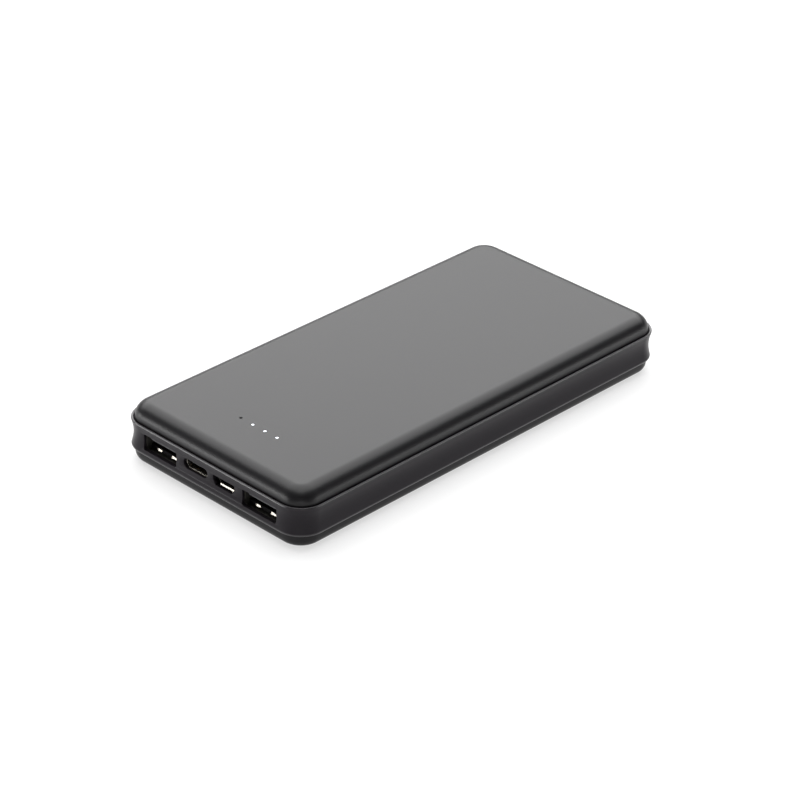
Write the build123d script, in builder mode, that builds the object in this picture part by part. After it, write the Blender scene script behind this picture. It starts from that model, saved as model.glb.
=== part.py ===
"""Slim 10,000 mAh power bank: two pillow-edged covers on a waisted side frame, with a
lithium-polymer cell, a charger board, four sockets on one short end and a charge gauge.

Frame: +X across the width, +Y along the length with the sockets at -Y, +Z up, and the
origin at the middle of the base. Millimetres throughout.
"""

import os

from build123d import *

os.makedirs("parts", exist_ok=True)

# ---- Driving dimensions -------------------------------------------------------------

LENGTH = 142.0
WIDTH = 69.0
HEIGHT = 17.0
CORNER_RADIUS = 7.6
MID_HEIGHT = HEIGHT / 2

# Side frame section: depths are measured inwards from the crests, rises from mid height.
CREST_RISE = 3.8
CREST_ROUND = 0.28
LEDGE_RISE = 4.15
LEDGE_DEPTH = 0.9
SHOULDER_RISE = 3.5
FLANK_DEPTH = 0.26
FLANK_RISE = 2.8
WAIST_DEPTH = 0.62
FRAME_DEPTH = 3.0

# Covers
COVER_INSET = 1.0
COVER_ROUND_ABOVE = 4.4
COVER_ROUND_BELOW = 2.5
COVER_SKIN = 1.7
LIP_OUTER_INSET = 3.1
LIP_INNER_INSET = 4.1
LIP_REACH = 1.6
LIP_GAP_AT_SOCKETS = 59.0
LIP_GAP_AT_BUTTON = 16.0
LIP_GAP_WIDTH = 2.0
LIP_GAP_LENGTH = 4.0
INNER_ROUND = 1.0

# Snap beads on the lips and the grooves that hold them
BEAD_LENGTH = 12.0
BEAD_HEIGHT = 0.4
BEAD_RISE = 2.5
BEAD_INSET = 2.8
GROOVE_INSET = 2.65
GROOVE_SPARE = 0.4
BEAD_ALONG = (-22.0, 12.0, 46.0)
BEAD_ACROSS = (-18.0, 18.0)

# Circuit board
BOARD_WIDTH = 58.0
BOARD_FRONT = -68.2
BOARD_BACK = -46.5
BOARD_THICKNESS = 1.2
BOARD_TOP = 7.2
BOARD_BOTTOM = BOARD_TOP - BOARD_THICKNESS

# Sockets, all looking out of the front wall
MOUTH_Y = -69.5
POCKET_Y = -69.6
POCKET_SPARE = 0.12
USB_A_X = 18.9
USB_A_Z = 8.15
USB_A_WINDOW = (12.65, 4.75)
USB_A_WINDOW_ROUND = 0.4
USB_A_OUTER = (13.1, 5.7)
USB_A_LENGTH = 15.1
USB_A_CORNER = 0.5
USB_C_X = -5.2
USB_C_WINDOW = (9.2, 3.1)
USB_C_OUTER = (8.94, 3.26)
USB_C_LENGTH = 8.45
USB_C_Z = BOARD_TOP + USB_C_OUTER[1] / 2
MICRO_X = 5.55
MICRO_WINDOW = (8.2, 2.9)
MICRO_OUTER = (7.7, 2.7)
MICRO_LENGTH = 6.6
MICRO_WINDOW_ROUND = 0.3
MICRO_CORNER = 0.4
MICRO_FOOT_CUT = 0.36
MICRO_Z = BOARD_TOP + MICRO_OUTER[1] / 2
SHELL_WALL = 0.3
BLOCK_SPARE = 0.1

# Charge gauge
GAUGE_Y = -53.76
GAUGE_X = 1.14
GAUGE_PITCH = 4.56
GAUGE_COUNT = 4
GAUGE_HOLE_RADIUS = 0.5
GAUGE_POST_RADIUS = 0.45
LED_SIZE = (1.6, 0.8, 0.6)
GUIDE_BAR = (17.5, 3.4, 1.2)
GUIDE_FOOT_Z = 8.2
BAFFLE = (18.6, 3.8, 5.6)
BAFFLE_WELL_RADIUS = 1.05

# Power button on the -X side, and its switch
BUTTON_Y = -54.0
BUTTON_Z = MID_HEIGHT
BUTTON_LENGTH = 10.0
BUTTON_HEIGHT = 3.2
BUTTON_CLEARANCE = 0.12
BUTTON_FACE_DEPTH = 0.2
BUTTON_ROUND = 0.35
BUTTON_FLANGE = (12.4, 4.8)
BUTTON_FLANGE_THICKNESS = 0.7
BUTTON_TRAVEL = 0.35
BUTTON_STEM = (3.0, 2.0)
SWITCH_BODY = (2.6, 6.0, 2.7)
SWITCH_FRONT_X = -28.4
SWITCH_COVER_WALL = 0.15
SWITCH_COVER_SHARE = 0.8
PLUNGER_END_GAP = 0.3
PLUNGER_CHAMFER = 0.2
PLUNGER = (2.8, 1.3)
PLUNGER_TIP_X = -29.75
PLUNGER_SLOT_SPARE = 0.1
SWITCH_POCKET_DEPTH = 1.9
STEM_GAP = 0.05

# Cell
CELL_WIDTH = 59.0
CELL_LENGTH = 108.0
CELL_THICKNESS = 11.4
CELL_FRONT = -43.2
CELL_BOTTOM = 2.5
CELL_ROUND = 2.2
TERRACE = (50.0, 2.0, 5.0)
TAPE_WALL = 0.15
PAD = (46.0, 88.0)
TAB_WIDTH = 5.0
TAB_THICKNESS = 0.2
TAB_X = 12.0
TAB_BEND = 0.3
TAB_LEAD = 0.9
TAB_PAD_START = 0.7
TAB_PAD_END = 3.6
PAD_ROUND = 2.0
CUSHION = (52.0, 1.6, 9.0)

# Board screws
SCREW_PLACES = ((-26.2, -48.8), (26.2, -48.8), (0.6, -59.4))
SCREW_RADIUS = 0.8
SCREW_LENGTH = 4.0
SCREW_HEAD_RADIUS = 1.5
SCREW_HEAD_HEIGHT = 0.9
SCREW_RECESS_RADIUS = 0.6
SCREW_RECESS_DEPTH = 0.45
BOSS_RADIUS = 2.2
BOARD_HOLE_RADIUS = 1.0

# ---- Derived places and planes ------------------------------------------------------

HALF_WIDTH = WIDTH / 2
HALF_LENGTH = LENGTH / 2
FRONT_PLANE = Plane.XZ.offset(HALF_LENGTH)
MOUTH_PLANE = Plane.XZ.offset(-MOUTH_Y)
POCKET_PLANE = Plane.XZ.offset(-POCKET_Y)
BUTTON_PLANE = Plane.YZ.offset(-HALF_WIDTH)
INSIDE_TOP = HEIGHT - COVER_SKIN
INSIDE_BOTTOM = COVER_SKIN
CELL_TOP = CELL_BOTTOM + CELL_THICKNESS
CELL_BACK = CELL_FRONT + CELL_LENGTH
CELL_MIDDLE_Y = (CELL_FRONT + CELL_BACK) / 2


def save(piece, name):
    """Labels a finished piece and writes its file."""
    piece.part.label = name
    export_step(piece.part, f"parts/{name}.step")


def outline(inset):
    """The plan outline, moved inwards from the crests by inset."""
    return RectangleRounded(WIDTH - 2 * inset, LENGTH - 2 * inset, CORNER_RADIUS - inset)


def micro_outline(width, height, corner):
    """Micro-USB outline: wide face up, with both lower corners cut back."""
    half = width / 2
    foot = half - MICRO_FOOT_CUT * height
    with BuildSketch(mode=Mode.PRIVATE) as shape:
        with BuildLine():
            Polyline(
                (-half, height / 2),
                (half, height / 2),
                (half, 0),
                (foot, -height / 2),
                (-foot, -height / 2),
                (-half, 0),
                close=True,
            )
        make_face()
        fillet(shape.vertices(), corner)
    return shape.sketch


def plate(name, size, centre, corner=0.0):
    """A flat rectangular piece, its upright corners rounded, centred on a point."""
    with BuildPart(Plane(centre)) as piece:
        Box(*size)
        if corner:
            fillet(piece.edges().filter_by(Axis.Z), corner)
    save(piece, name)


# ---- Side frame ---------------------------------------------------------------------

with BuildPart() as side_frame:
    with BuildLine() as quarter_path:
        Polyline(
            (HALF_WIDTH, 0, MID_HEIGHT),
            (HALF_WIDTH, HALF_LENGTH - CORNER_RADIUS, MID_HEIGHT),
        )
        RadiusArc(
            (HALF_WIDTH, HALF_LENGTH - CORNER_RADIUS, MID_HEIGHT),
            (HALF_WIDTH - CORNER_RADIUS, HALF_LENGTH, MID_HEIGHT),
            -CORNER_RADIUS,
        )
        Polyline(
            (HALF_WIDTH - CORNER_RADIUS, HALF_LENGTH, MID_HEIGHT),
            (0, HALF_LENGTH, MID_HEIGHT),
        )
    with BuildSketch(Plane((HALF_WIDTH, 0, MID_HEIGHT), x_dir=(-1, 0, 0), z_dir=(0, 1, 0))):
        with BuildLine() as section:
            Polyline(
                (FLANK_DEPTH, FLANK_RISE),
                (0, CREST_RISE),
                (0, LEDGE_RISE),
                (LEDGE_DEPTH, LEDGE_RISE),
                (LEDGE_DEPTH, SHOULDER_RISE),
                (FRAME_DEPTH, SHOULDER_RISE),
                (FRAME_DEPTH, -SHOULDER_RISE),
                (LEDGE_DEPTH, -SHOULDER_RISE),
                (LEDGE_DEPTH, -LEDGE_RISE),
                (0, -LEDGE_RISE),
                (0, -CREST_RISE),
                (FLANK_DEPTH, -FLANK_RISE),
            )
            ThreePointArc(
                (FLANK_DEPTH, -FLANK_RISE), (WAIST_DEPTH, 0), (FLANK_DEPTH, FLANK_RISE)
            )
        make_face()
    sweep(path=quarter_path.line)
    mirror(about=Plane.XZ)
    mirror(about=Plane.YZ)
    crests = side_frame.faces().filter_by(Axis.Z).sort_by(Axis.Z)
    fillet(crests[-1].outer_wire().edges() + crests[0].outer_wire().edges(), CREST_ROUND)
    with BuildSketch(FRONT_PLANE):
        with Locations((-USB_A_X, USB_A_Z), (USB_A_X, USB_A_Z)):
            RectangleRounded(*USB_A_WINDOW, USB_A_WINDOW_ROUND)
        with Locations((USB_C_X, USB_C_Z)):
            SlotOverall(*USB_C_WINDOW)
        add(Pos(MICRO_X, MICRO_Z) * micro_outline(*MICRO_WINDOW, MICRO_WINDOW_ROUND))
    extrude(amount=-2 * FRAME_DEPTH, mode=Mode.SUBTRACT)
    with BuildSketch(POCKET_PLANE):
        with Locations((-USB_A_X, USB_A_Z), (USB_A_X, USB_A_Z)):
            Rectangle(USB_A_OUTER[0] + 2 * POCKET_SPARE, USB_A_OUTER[1] + 2 * POCKET_SPARE)
        with Locations((USB_C_X, USB_C_Z)):
            SlotOverall(USB_C_WINDOW[0] + 2 * POCKET_SPARE, USB_C_OUTER[1] + 2 * POCKET_SPARE)
        with Locations((MICRO_X, MICRO_Z)):
            Rectangle(MICRO_WINDOW[0] + 2 * POCKET_SPARE, MICRO_WINDOW[1] + 2 * POCKET_SPARE)
        with Locations((0, (BOARD_TOP + BOARD_BOTTOM) / 2)):
            Rectangle(BOARD_WIDTH + 2 * POCKET_SPARE, BOARD_THICKNESS + 2 * POCKET_SPARE)
    extrude(amount=-FRAME_DEPTH, mode=Mode.SUBTRACT)
    with BuildSketch(BUTTON_PLANE):
        with Locations((BUTTON_Y, BUTTON_Z)):
            SlotOverall(
                BUTTON_LENGTH + 2 * BUTTON_CLEARANCE, BUTTON_HEIGHT + 2 * BUTTON_CLEARANCE
            )
    extrude(amount=2 * FRAME_DEPTH, mode=Mode.SUBTRACT)
    groove_depth = FRAME_DEPTH - GROOVE_INSET
    groove_height = BEAD_HEIGHT + GROOVE_SPARE
    groove_x = HALF_WIDTH - FRAME_DEPTH + groove_depth / 2
    groove_y = HALF_LENGTH - FRAME_DEPTH + groove_depth / 2
    for rise in (BEAD_RISE, -BEAD_RISE):
        for side in (-1, 1):
            for y in BEAD_ALONG:
                with Locations((side * groove_x, y, MID_HEIGHT + rise)):
                    Box(groove_depth, BEAD_LENGTH + GROOVE_SPARE, groove_height, mode=Mode.SUBTRACT)
        for x in BEAD_ACROSS:
            with Locations((x, groove_y, MID_HEIGHT + rise)):
                Box(BEAD_LENGTH + GROOVE_SPARE, groove_depth, groove_height, mode=Mode.SUBTRACT)
save(side_frame, "side_frame")


# ---- Covers -------------------------------------------------------------------------


def cover_blank(up):
    """A cover without its holes: rounded plate, skirt, lip and snap beads.

    up is 1 for the top cover and -1 for the bottom one, which has a smaller edge rounding.
    """
    bead_depth = LIP_OUTER_INSET - BEAD_INSET
    with BuildPart() as cover:
        with BuildSketch(Plane.XY.offset(MID_HEIGHT + up * SHOULDER_RISE)):
            outline(COVER_INSET)
        extrude(amount=up * (MID_HEIGHT - SHOULDER_RISE))
        rim = cover.faces().filter_by(Axis.Z).sort_by(Axis.Z)[-1 if up > 0 else 0]
        fillet(rim.outer_wire().edges(), COVER_ROUND_ABOVE if up > 0 else COVER_ROUND_BELOW)
        with BuildSketch(Plane.XY.offset(MID_HEIGHT + up * (SHOULDER_RISE - LIP_REACH))):
            outline(LIP_OUTER_INSET)
        extrude(amount=up * (LIP_REACH + INNER_ROUND))
        with BuildSketch(Plane.XY.offset(MID_HEIGHT + up * (MID_HEIGHT - COVER_SKIN))):
            outline(LIP_INNER_INSET)
        extrude(amount=-up * MID_HEIGHT, mode=Mode.SUBTRACT)
        lip_middle = MID_HEIGHT + up * (SHOULDER_RISE - LIP_REACH / 2)
        lip_y = -HALF_LENGTH + (LIP_OUTER_INSET + LIP_INNER_INSET) / 2
        with Locations((0, lip_y, lip_middle)):
            Box(LIP_GAP_AT_SOCKETS, LIP_GAP_LENGTH, LIP_REACH, mode=Mode.SUBTRACT)
        lip_x = -HALF_WIDTH + (LIP_OUTER_INSET + LIP_INNER_INSET) / 2
        with Locations((lip_x, BUTTON_Y, lip_middle)):
            Box(LIP_GAP_WIDTH, LIP_GAP_AT_BUTTON, LIP_REACH, mode=Mode.SUBTRACT)
        bead_z = MID_HEIGHT + up * BEAD_RISE
        for side in (-1, 1):
            for y in BEAD_ALONG:
                with Locations((side * (HALF_WIDTH - LIP_OUTER_INSET + bead_depth / 2), y, bead_z)):
                    Box(bead_depth, BEAD_LENGTH, BEAD_HEIGHT)
        for x in BEAD_ACROSS:
            with Locations((x, HALF_LENGTH - LIP_OUTER_INSET + bead_depth / 2, bead_z)):
                Box(BEAD_LENGTH, bead_depth, BEAD_HEIGHT)
    return cover.part


with BuildPart() as top_cover:
    add(cover_blank(1))
    with Locations((GAUGE_X, GAUGE_Y, HEIGHT)):
        with GridLocations(GAUGE_PITCH, 1, GAUGE_COUNT, 1):
            Hole(GAUGE_HOLE_RADIUS, depth=2 * COVER_SKIN)
save(top_cover, "top_cover")

with BuildPart() as bottom_cover:
    add(cover_blank(-1))
    with BuildSketch(Plane.XY.offset(INSIDE_BOTTOM)):
        with Locations(*SCREW_PLACES):
            Circle(BOSS_RADIUS)
    extrude(amount=BOARD_BOTTOM - INSIDE_BOTTOM)
    with BuildSketch(Plane.XY.offset(BOARD_BOTTOM)):
        with Locations(*SCREW_PLACES):
            Circle(SCREW_RADIUS)
    extrude(amount=BOARD_THICKNESS - SCREW_LENGTH, mode=Mode.SUBTRACT)
save(bottom_cover, "bottom_cover")


# ---- Cell, its tabs, tape and pads --------------------------------------------------

with BuildPart() as battery_cell:
    with Locations((0, CELL_MIDDLE_Y, (CELL_BOTTOM + CELL_TOP) / 2)):
        Box(CELL_WIDTH, CELL_LENGTH, CELL_THICKNESS)
    fillet(battery_cell.edges().filter_by(Axis.Y), CELL_ROUND)
    with Locations((0, CELL_FRONT - TERRACE[1] / 2, MID_HEIGHT)):
        Box(*TERRACE)
save(battery_cell, "battery_cell")

with BuildPart() as cell_end_tape:
    with Locations((0, CELL_FRONT - TERRACE[1] / 2, MID_HEIGHT)):
        Box(TERRACE[0], TERRACE[1], TERRACE[2] + 2 * TAPE_WALL)
        Box(*TERRACE, mode=Mode.SUBTRACT)
save(cell_end_tape, "cell_end_tape")


def battery_tab(name, x):
    """A nickel strip from the cell's sealed end down onto its pad on the board."""
    start_y = CELL_FRONT - TERRACE[1]
    board_face = BOARD_TOP + TAB_THICKNESS / 2
    with BuildPart() as tab:
        with BuildSketch(Plane.YZ.offset(x - TAB_WIDTH / 2)):
            with BuildLine():
                FilletPolyline(
                    (start_y, MID_HEIGHT),
                    (start_y - TAB_LEAD, MID_HEIGHT),
                    (BOARD_BACK - TAB_PAD_START, board_face),
                    (BOARD_BACK - TAB_PAD_END, board_face),
                    radius=TAB_BEND,
                )
            trace(line_width=TAB_THICKNESS)
        extrude(amount=TAB_WIDTH)
    save(tab, name)


battery_tab("battery_tab_positive", TAB_X)
battery_tab("battery_tab_negative", -TAB_X)

upper_pad_thickness = INSIDE_TOP - CELL_TOP
lower_pad_thickness = CELL_BOTTOM - INSIDE_BOTTOM
plate(
    "cell_foam_pad_upper",
    (*PAD, upper_pad_thickness),
    (0, CELL_MIDDLE_Y, CELL_TOP + upper_pad_thickness / 2),
    corner=PAD_ROUND,
)
plate(
    "cell_adhesive_pad_lower",
    (*PAD, lower_pad_thickness),
    (0, CELL_MIDDLE_Y, INSIDE_BOTTOM + lower_pad_thickness / 2),
    corner=PAD_ROUND,
)
plate(
    "cell_end_cushion",
    CUSHION,
    (0, CELL_BACK + CUSHION[1] / 2, MID_HEIGHT),
)


# ---- Circuit board and its screws ---------------------------------------------------

with BuildPart() as circuit_board:
    with BuildSketch(Plane.XY.offset(BOARD_BOTTOM)):
        with Locations((0, (BOARD_FRONT + BOARD_BACK) / 2)):
            Rectangle(BOARD_WIDTH, BOARD_BACK - BOARD_FRONT)
        with Locations((-USB_A_X, BOARD_FRONT), (USB_A_X, BOARD_FRONT)):
            notch_length = MOUTH_Y + USB_A_LENGTH - BOARD_FRONT + POCKET_SPARE
            Rectangle(
                USB_A_OUTER[0] + 2 * POCKET_SPARE,
                2 * notch_length,
                mode=Mode.SUBTRACT,
            )
        with Locations(*SCREW_PLACES):
            Circle(BOARD_HOLE_RADIUS, mode=Mode.SUBTRACT)
    extrude(amount=BOARD_THICKNESS)
save(circuit_board, "circuit_board")

with BuildPart() as board_screws:
    with BuildSketch(Plane.XY.offset(BOARD_TOP)):
        with Locations(*SCREW_PLACES):
            Circle(SCREW_HEAD_RADIUS)
    extrude(amount=SCREW_HEAD_HEIGHT)
    with BuildSketch(Plane.XY.offset(BOARD_TOP)):
        with Locations(*SCREW_PLACES):
            Circle(SCREW_RADIUS)
    extrude(amount=-SCREW_LENGTH)
    with BuildSketch(Plane.XY.offset(BOARD_TOP + SCREW_HEAD_HEIGHT)):
        with Locations(*SCREW_PLACES):
            RegularPolygon(SCREW_RECESS_RADIUS, 6)
    extrude(amount=-SCREW_RECESS_DEPTH, mode=Mode.SUBTRACT)
save(board_screws, "board_screws")


# ---- USB-A sockets ------------------------------------------------------------------

A_TONGUE = (11.1, 1.84)
A_TONGUE_TIP_Y = -68.8
A_TONGUE_Z = 9.2
A_TONGUE_CHAMFER = 0.3
A_CORNER_INSIDE = 0.25
A_BLOCK_LENGTH = 2.6
A_FINGER_X = 2.9
A_FINGER_WIDTH = 1.9
A_FINGER_DIPS = ((-1, 0.85), (1, 0.4))
A_FINGER_ROOT = 7.0
A_FINGER_START = 5.0
A_FINGER_PEAK = 1.75
A_FINGER_END = 1.2
A_FINGER_END_DIP = 0.1
A_FINGER_THICKNESS = 0.25
A_FINGER_BEND = 0.2
A_SLOT = (2.4, 5.8)
A_SLOT_MIDDLE = 3.9
A_WING = (1.5, 3.0)
A_WING_SHIFT = 1.0
A_CONTACTS = ((-3.5, -68.0), (-1.0, -67.2), (1.0, -67.2), (3.5, -68.0))
A_CONTACT_WIDTH = 1.0
A_CONTACT_BACK_Y = -59.4
CONTACT_THICKNESS = 0.2


def usb_a_shell(name, x):
    """Drawn steel box, open in front, with two spring fingers in its floor and its roof."""
    inner_half = USB_A_OUTER[1] / 2 - SHELL_WALL
    mid_y = MOUTH_Y + USB_A_LENGTH / 2
    with BuildPart() as shell:
        with BuildSketch(MOUTH_PLANE):
            with Locations((x, USB_A_Z)):
                RectangleRounded(*USB_A_OUTER, USB_A_CORNER)
        extrude(amount=-USB_A_LENGTH)
        with BuildSketch(MOUTH_PLANE):
            with Locations((x, USB_A_Z)):
                RectangleRounded(
                    USB_A_OUTER[0] - 2 * SHELL_WALL,
                    USB_A_OUTER[1] - 2 * SHELL_WALL,
                    A_CORNER_INSIDE,
                )
        extrude(amount=SHELL_WALL - USB_A_LENGTH, mode=Mode.SUBTRACT)
        for finger_x in (x - A_FINGER_X, x + A_FINGER_X):
            with Locations((finger_x, MOUTH_Y + A_SLOT_MIDDLE, USB_A_Z)):
                Box(*A_SLOT, USB_A_OUTER[1], mode=Mode.SUBTRACT)
            for up, dip in A_FINGER_DIPS:
                with BuildSketch(Plane.YZ.offset(finger_x - A_FINGER_WIDTH / 2)):
                    with BuildLine():
                        wall_z = USB_A_Z + up * (inner_half + SHELL_WALL / 2)
                        FilletPolyline(
                            (MOUTH_Y + A_FINGER_ROOT, wall_z),
                            (MOUTH_Y + A_FINGER_START, wall_z),
                            (MOUTH_Y + A_FINGER_PEAK, wall_z - up * dip),
                            (MOUTH_Y + A_FINGER_END, wall_z - up * A_FINGER_END_DIP),
                            radius=A_FINGER_BEND,
                        )
                    trace(line_width=A_FINGER_THICKNESS)
                extrude(amount=A_FINGER_WIDTH)
        for side in (-1, 1):
            wing_x = x + side * (USB_A_OUTER[0] + A_WING[0] - SHELL_WALL) / 2
            with Locations((wing_x, mid_y - A_WING_SHIFT, BOARD_TOP + SHELL_WALL / 2)):
                Box(A_WING[0] + SHELL_WALL, A_WING[1], SHELL_WALL)
    save(shell, name)


def usb_a_tongue(name, x):
    """Black nylon tongue with the block that closes the back of its shell."""
    inner = (USB_A_OUTER[0] - 2 * SHELL_WALL, USB_A_OUTER[1] - 2 * SHELL_WALL)
    block_back = MOUTH_Y + USB_A_LENGTH - SHELL_WALL
    block_middle = block_back - A_BLOCK_LENGTH / 2
    tongue_length = block_middle - A_TONGUE_TIP_Y
    with BuildPart() as tongue:
        with Locations((x, A_TONGUE_TIP_Y + tongue_length / 2, A_TONGUE_Z)):
            Box(A_TONGUE[0], tongue_length, A_TONGUE[1])
        tip = tongue.faces().sort_by(Axis.Y)[0]
        chamfer(tip.edges().filter_by(Axis.X), A_TONGUE_CHAMFER)
        with Locations((x, block_middle, USB_A_Z)):
            Box(inner[0] - 2 * BLOCK_SPARE, A_BLOCK_LENGTH, inner[1] - 2 * BLOCK_SPARE)
    save(tongue, name)


def usb_a_contacts(name, x):
    """Four gold strips under the tongue: the two power strips reach further forward."""
    contact_z = A_TONGUE_Z - A_TONGUE[1] / 2 - CONTACT_THICKNESS / 2
    with BuildPart() as contacts:
        for offset_x, front_y in A_CONTACTS:
            with Locations((x + offset_x, (front_y + A_CONTACT_BACK_Y) / 2, contact_z)):
                Box(A_CONTACT_WIDTH, A_CONTACT_BACK_Y - front_y, CONTACT_THICKNESS)
    save(contacts, name)


for side_name, socket_x in (("left", -USB_A_X), ("right", USB_A_X)):
    usb_a_shell(f"usb_a_shell_{side_name}", socket_x)
    usb_a_tongue(f"usb_a_tongue_{side_name}", socket_x)
    usb_a_contacts(f"usb_a_contacts_{side_name}", socket_x)


# ---- USB-C socket -------------------------------------------------------------------

C_TONGUE = (6.69, 0.7)
C_TONGUE_TIP_Y = -68.6
C_TONGUE_ROUND = 0.3
C_CONTACT_SETBACK = 0.5
C_BLOCK_LENGTH = 1.6
C_CONTACT_COUNT = 12
C_CONTACT_PITCH = 0.5
C_CONTACT = (0.26, 3.6, 0.08)

with BuildPart() as usb_c_shell:
    with BuildSketch(MOUTH_PLANE):
        with Locations((USB_C_X, USB_C_Z)):
            SlotOverall(*USB_C_OUTER)
            SlotOverall(
                USB_C_OUTER[0] - 2 * SHELL_WALL,
                USB_C_OUTER[1] - 2 * SHELL_WALL,
                mode=Mode.SUBTRACT,
            )
    extrude(amount=-USB_C_LENGTH)
save(usb_c_shell, "usb_c_shell")

with BuildPart() as usb_c_tongue:
    c_back_y = MOUTH_Y + USB_C_LENGTH
    with Locations((USB_C_X, (C_TONGUE_TIP_Y + c_back_y) / 2, USB_C_Z)):
        Box(C_TONGUE[0], c_back_y - C_TONGUE_TIP_Y, C_TONGUE[1])
    c_tip = usb_c_tongue.faces().sort_by(Axis.Y)[0]
    fillet(c_tip.edges().filter_by(Axis.Z), C_TONGUE_ROUND)
    with BuildSketch(Plane.XZ.offset(-c_back_y)):
        with Locations((USB_C_X, USB_C_Z)):
            SlotOverall(
                USB_C_OUTER[0] - 2 * SHELL_WALL - BLOCK_SPARE,
                USB_C_OUTER[1] - 2 * SHELL_WALL - BLOCK_SPARE,
            )
    extrude(amount=C_BLOCK_LENGTH)
save(usb_c_tongue, "usb_c_tongue")

with BuildPart() as usb_c_contacts:
    contact_rise = (C_TONGUE[1] + C_CONTACT[2]) / 2
    contact_y = C_TONGUE_TIP_Y + C_CONTACT_SETBACK + C_CONTACT[1] / 2
    for z in (USB_C_Z - contact_rise, USB_C_Z + contact_rise):
        with Locations((USB_C_X, contact_y, z)):
            with GridLocations(C_CONTACT_PITCH, 1, C_CONTACT_COUNT, 1):
                Box(*C_CONTACT)
save(usb_c_contacts, "usb_c_contacts")


# ---- Micro-USB socket ---------------------------------------------------------------

MICRO_TONGUE = (3.9, 0.6)
MICRO_TONGUE_TIP_Y = -68.3
MICRO_CORNER_INSIDE = 0.2
MICRO_CONTACT_SETBACK = 0.4
MICRO_TONGUE_RISE = 0.35
MICRO_BLOCK_LENGTH = 1.4
MICRO_CONTACT_COUNT = 5
MICRO_CONTACT_PITCH = 0.65
MICRO_CONTACT = (0.4, 2.4, 0.1)

with BuildPart() as micro_usb_shell:
    with BuildSketch(MOUTH_PLANE):
        add(Pos(MICRO_X, MICRO_Z) * micro_outline(*MICRO_OUTER, MICRO_CORNER))
        micro_inner = micro_outline(
            MICRO_OUTER[0] - 2 * SHELL_WALL,
            MICRO_OUTER[1] - 2 * SHELL_WALL,
            MICRO_CORNER_INSIDE,
        )
        add(Pos(MICRO_X, MICRO_Z) * micro_inner, mode=Mode.SUBTRACT)
    extrude(amount=-MICRO_LENGTH)
save(micro_usb_shell, "micro_usb_shell")

with BuildPart() as micro_usb_tongue:
    micro_back_y = MOUTH_Y + MICRO_LENGTH
    micro_tongue_z = MICRO_Z + MICRO_TONGUE_RISE
    with Locations((MICRO_X, (MICRO_TONGUE_TIP_Y + micro_back_y) / 2, micro_tongue_z)):
        Box(MICRO_TONGUE[0], micro_back_y - MICRO_TONGUE_TIP_Y, MICRO_TONGUE[1])
    with BuildSketch(Plane.XZ.offset(-micro_back_y)):
        micro_block = micro_outline(
            MICRO_OUTER[0] - 2 * SHELL_WALL - BLOCK_SPARE,
            MICRO_OUTER[1] - 2 * SHELL_WALL - BLOCK_SPARE,
            MICRO_CORNER_INSIDE,
        )
        add(Pos(MICRO_X, MICRO_Z) * micro_block)
    extrude(amount=MICRO_BLOCK_LENGTH)
save(micro_usb_tongue, "micro_usb_tongue")

with BuildPart() as micro_usb_contacts:
    micro_contact_z = micro_tongue_z - (MICRO_TONGUE[1] + MICRO_CONTACT[2]) / 2
    micro_contact_y = MICRO_TONGUE_TIP_Y + MICRO_CONTACT_SETBACK + MICRO_CONTACT[1] / 2
    with Locations((MICRO_X, micro_contact_y, micro_contact_z)):
        with GridLocations(MICRO_CONTACT_PITCH, 1, MICRO_CONTACT_COUNT, 1):
            Box(*MICRO_CONTACT)
save(micro_usb_contacts, "micro_usb_contacts")


# ---- Charge gauge -------------------------------------------------------------------

with BuildPart() as indicator_leds:
    with Locations((GAUGE_X, GAUGE_Y, BOARD_TOP + LED_SIZE[2] / 2)):
        with GridLocations(GAUGE_PITCH, 1, GAUGE_COUNT, 1):
            Box(*LED_SIZE)
save(indicator_leds, "indicator_leds")

with BuildPart() as light_guide:
    with Locations((GAUGE_X, GAUGE_Y, INSIDE_TOP - GUIDE_BAR[2] / 2)):
        Box(*GUIDE_BAR)
    with BuildSketch(Plane.XY.offset(GUIDE_FOOT_Z)):
        with Locations((GAUGE_X, GAUGE_Y)):
            with GridLocations(GAUGE_PITCH, 1, GAUGE_COUNT, 1):
                Circle(GAUGE_POST_RADIUS)
    extrude(amount=HEIGHT - GUIDE_FOOT_Z)
save(light_guide, "light_guide")

with BuildPart() as light_baffle:
    with Locations((GAUGE_X, GAUGE_Y, BOARD_TOP + BAFFLE[2] / 2)):
        Box(*BAFFLE)
        with GridLocations(GAUGE_PITCH, 1, GAUGE_COUNT, 1):
            Hole(BAFFLE_WELL_RADIUS, depth=BAFFLE[2])
save(light_baffle, "light_baffle")


# ---- Power button and tact switch ---------------------------------------------------

with BuildPart() as power_button:
    inner_wall_x = -HALF_WIDTH + LIP_OUTER_INSET
    with BuildSketch(Plane.YZ.offset(-HALF_WIDTH + BUTTON_FACE_DEPTH)):
        with Locations((BUTTON_Y, BUTTON_Z)):
            SlotOverall(BUTTON_LENGTH, BUTTON_HEIGHT)
    extrude(amount=LIP_OUTER_INSET - BUTTON_FACE_DEPTH)
    fillet(power_button.faces().sort_by(Axis.X)[0].edges(), BUTTON_ROUND)
    with BuildSketch(Plane.YZ.offset(inner_wall_x)):
        with Locations((BUTTON_Y, BUTTON_Z)):
            SlotOverall(*BUTTON_FLANGE)
    extrude(amount=BUTTON_FLANGE_THICKNESS)
    with BuildSketch(Plane.YZ.offset(inner_wall_x)):
        with Locations((BUTTON_Y, BUTTON_Z)):
            Rectangle(*BUTTON_STEM)
    extrude(amount=PLUNGER_TIP_X - STEM_GAP - inner_wall_x)
save(power_button, "power_button")

switch_mid_x = SWITCH_FRONT_X + SWITCH_BODY[0] / 2
switch_mid_z = BOARD_TOP + SWITCH_BODY[2] / 2

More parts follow.
